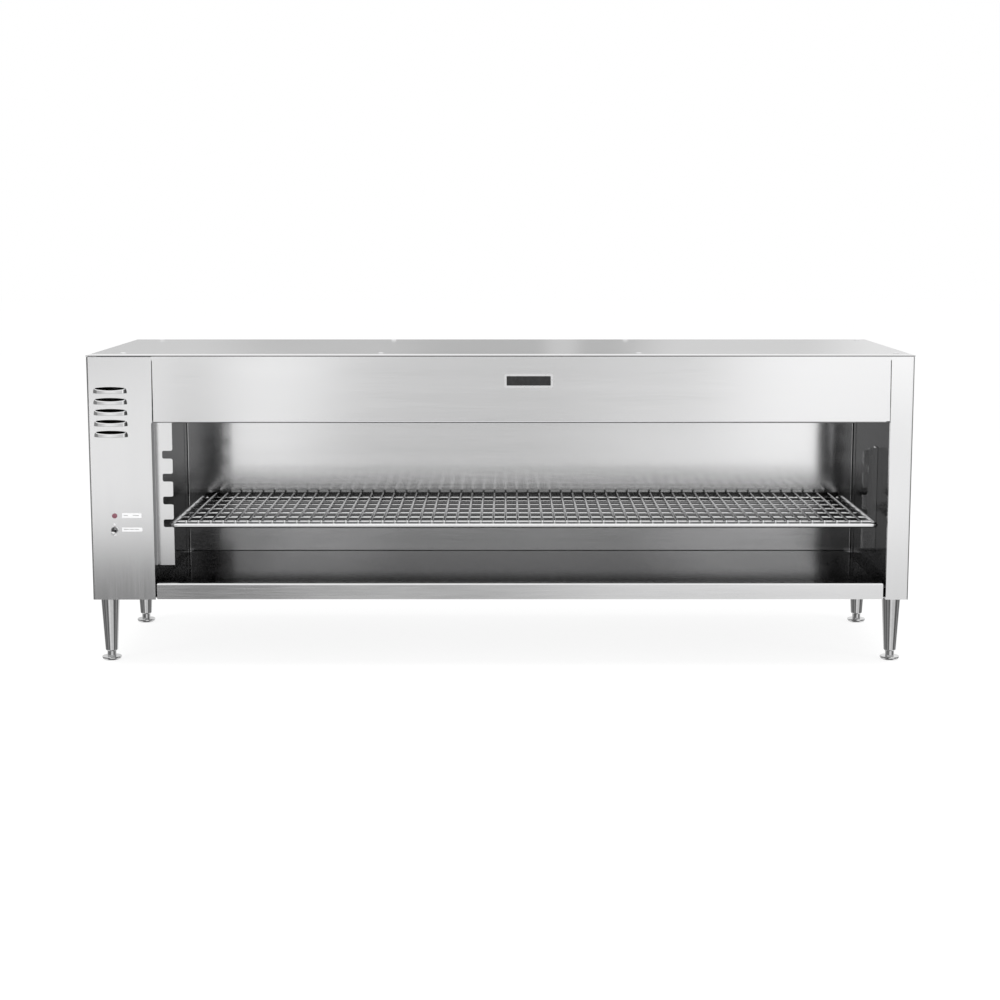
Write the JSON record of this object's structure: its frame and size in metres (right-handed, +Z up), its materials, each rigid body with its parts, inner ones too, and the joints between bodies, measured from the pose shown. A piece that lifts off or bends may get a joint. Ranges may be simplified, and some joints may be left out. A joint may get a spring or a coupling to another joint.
{
  "type": "cheese melter",
  "caption": "Stainless countertop cheese melter on adjustable legs, open at the front, with heating elements, wire rack, drip tray and a louvered control side",
  "frame": {"origin": "centre of the bounding box at the level of the feet's undersides", "axes": "+X to the right seen from the front, +Y to the rear (the open front faces -Y), +Z up"},
  "size_m": [1.2216, 0.426, 0.4713],
  "materials": {
    "outer_steel": "satin brushed stainless steel",
    "inner_steel": "bright stainless steel, mirror-like",
    "mineral_wool": "matte fibrous",
    "element_sheath": "oxidised dark sheath",
    "dark_metal": "dark nickel",
    "red_lens": "gloss translucent",
    "white_ceramic": "matte",
    "screw_steel": "bright zinc",
    "leg_metal": "polished nickel",
    "rack_chrome": "bright chrome plate"
  },
  "bodies": {
    "cabinet": {"top_cover": "outer_steel", "control_panel": "outer_steel", "hood_panel": "outer_steel", "left_side_panel": "outer_steel", "right_side_panel": "outer_steel", "back_panel": "outer_steel", "base_panel": "outer_steel", "front_rail": "inner_steel", "rear_rail": "inner_steel", "cavity_left_wall": "inner_steel", "cavity_right_wall": "inner_steel", "cavity_back_wall": "inner_steel", "cavity_ceiling": "inner_steel", "top_insulation": "mineral_wool", "back_insulation": "mineral_wool", "side_insulation": "mineral_wool", "element_front": "element_sheath", "element_middle": "element_sheath", "element_rear": "element_sheath", "element_hangers": "inner_steel", "rack_guide_left": "outer_steel", "rack_guide_right": "inner_steel", "switch_body": "dark_metal", "switch_nut": "dark_metal", "pilot_body": "dark_metal", "pilot_lens": "red_lens", "terminal_block": "white_ceramic", "inlet_bushing": "dark_metal", "top_screws": "screw_steel", "back_screws": "screw_steel", "leg_front_left": "leg_metal", "leg_front_right": "leg_metal", "leg_rear_left": "leg_metal", "leg_rear_right": "leg_metal", "leg_nuts": "screw_steel"},
    "rack": {"rack_frame": "rack_chrome", "rack_cross_wires": "rack_chrome", "rack_long_wires": "rack_chrome"},
    "tray": {"drip_tray": "inner_steel"},
    "toggle": {"toggle_lever": "rack_chrome"},
    "foot_fl": {"foot_front_left": "leg_metal"},
    "foot_fr": {"foot_front_right": "leg_metal"},
    "foot_rl": {"foot_rear_left": "leg_metal"},
    "foot_rr": {"foot_rear_right": "leg_metal"}
  },
  "joints": [
    {"name": "rack_slide", "type": "slide", "parent": "cabinet", "child": "rack", "axis": [0, -1, 0], "range_m": [0, 0.12]},
    {"name": "tray_slide", "type": "slide", "parent": "cabinet", "child": "tray", "axis": [0, -1, 0], "range_m": [0, 0.3]},
    {"name": "toggle_switch", "type": "hinge", "parent": "cabinet", "child": "toggle", "pos_m": [-0.5736, -0.19441, 0.2102], "axis": [-1, 0, 0], "range_deg": [0, 26]},
    {"name": "foot_front_left_height", "type": "slide", "parent": "cabinet", "child": "foot_fl", "axis": [0, 0, -1], "range_m": [0, 0.02]},
    {"name": "foot_front_right_height", "type": "slide", "parent": "cabinet", "child": "foot_fr", "axis": [0, 0, -1], "range_m": [0, 0.02]},
    {"name": "foot_rear_left_height", "type": "slide", "parent": "cabinet", "child": "foot_rl", "axis": [0, 0, -1], "range_m": [0, 0.02]},
    {"name": "foot_rear_right_height", "type": "slide", "parent": "cabinet", "child": "foot_rr", "axis": [0, 0, -1], "range_m": [0, 0.02]}
  ]
}
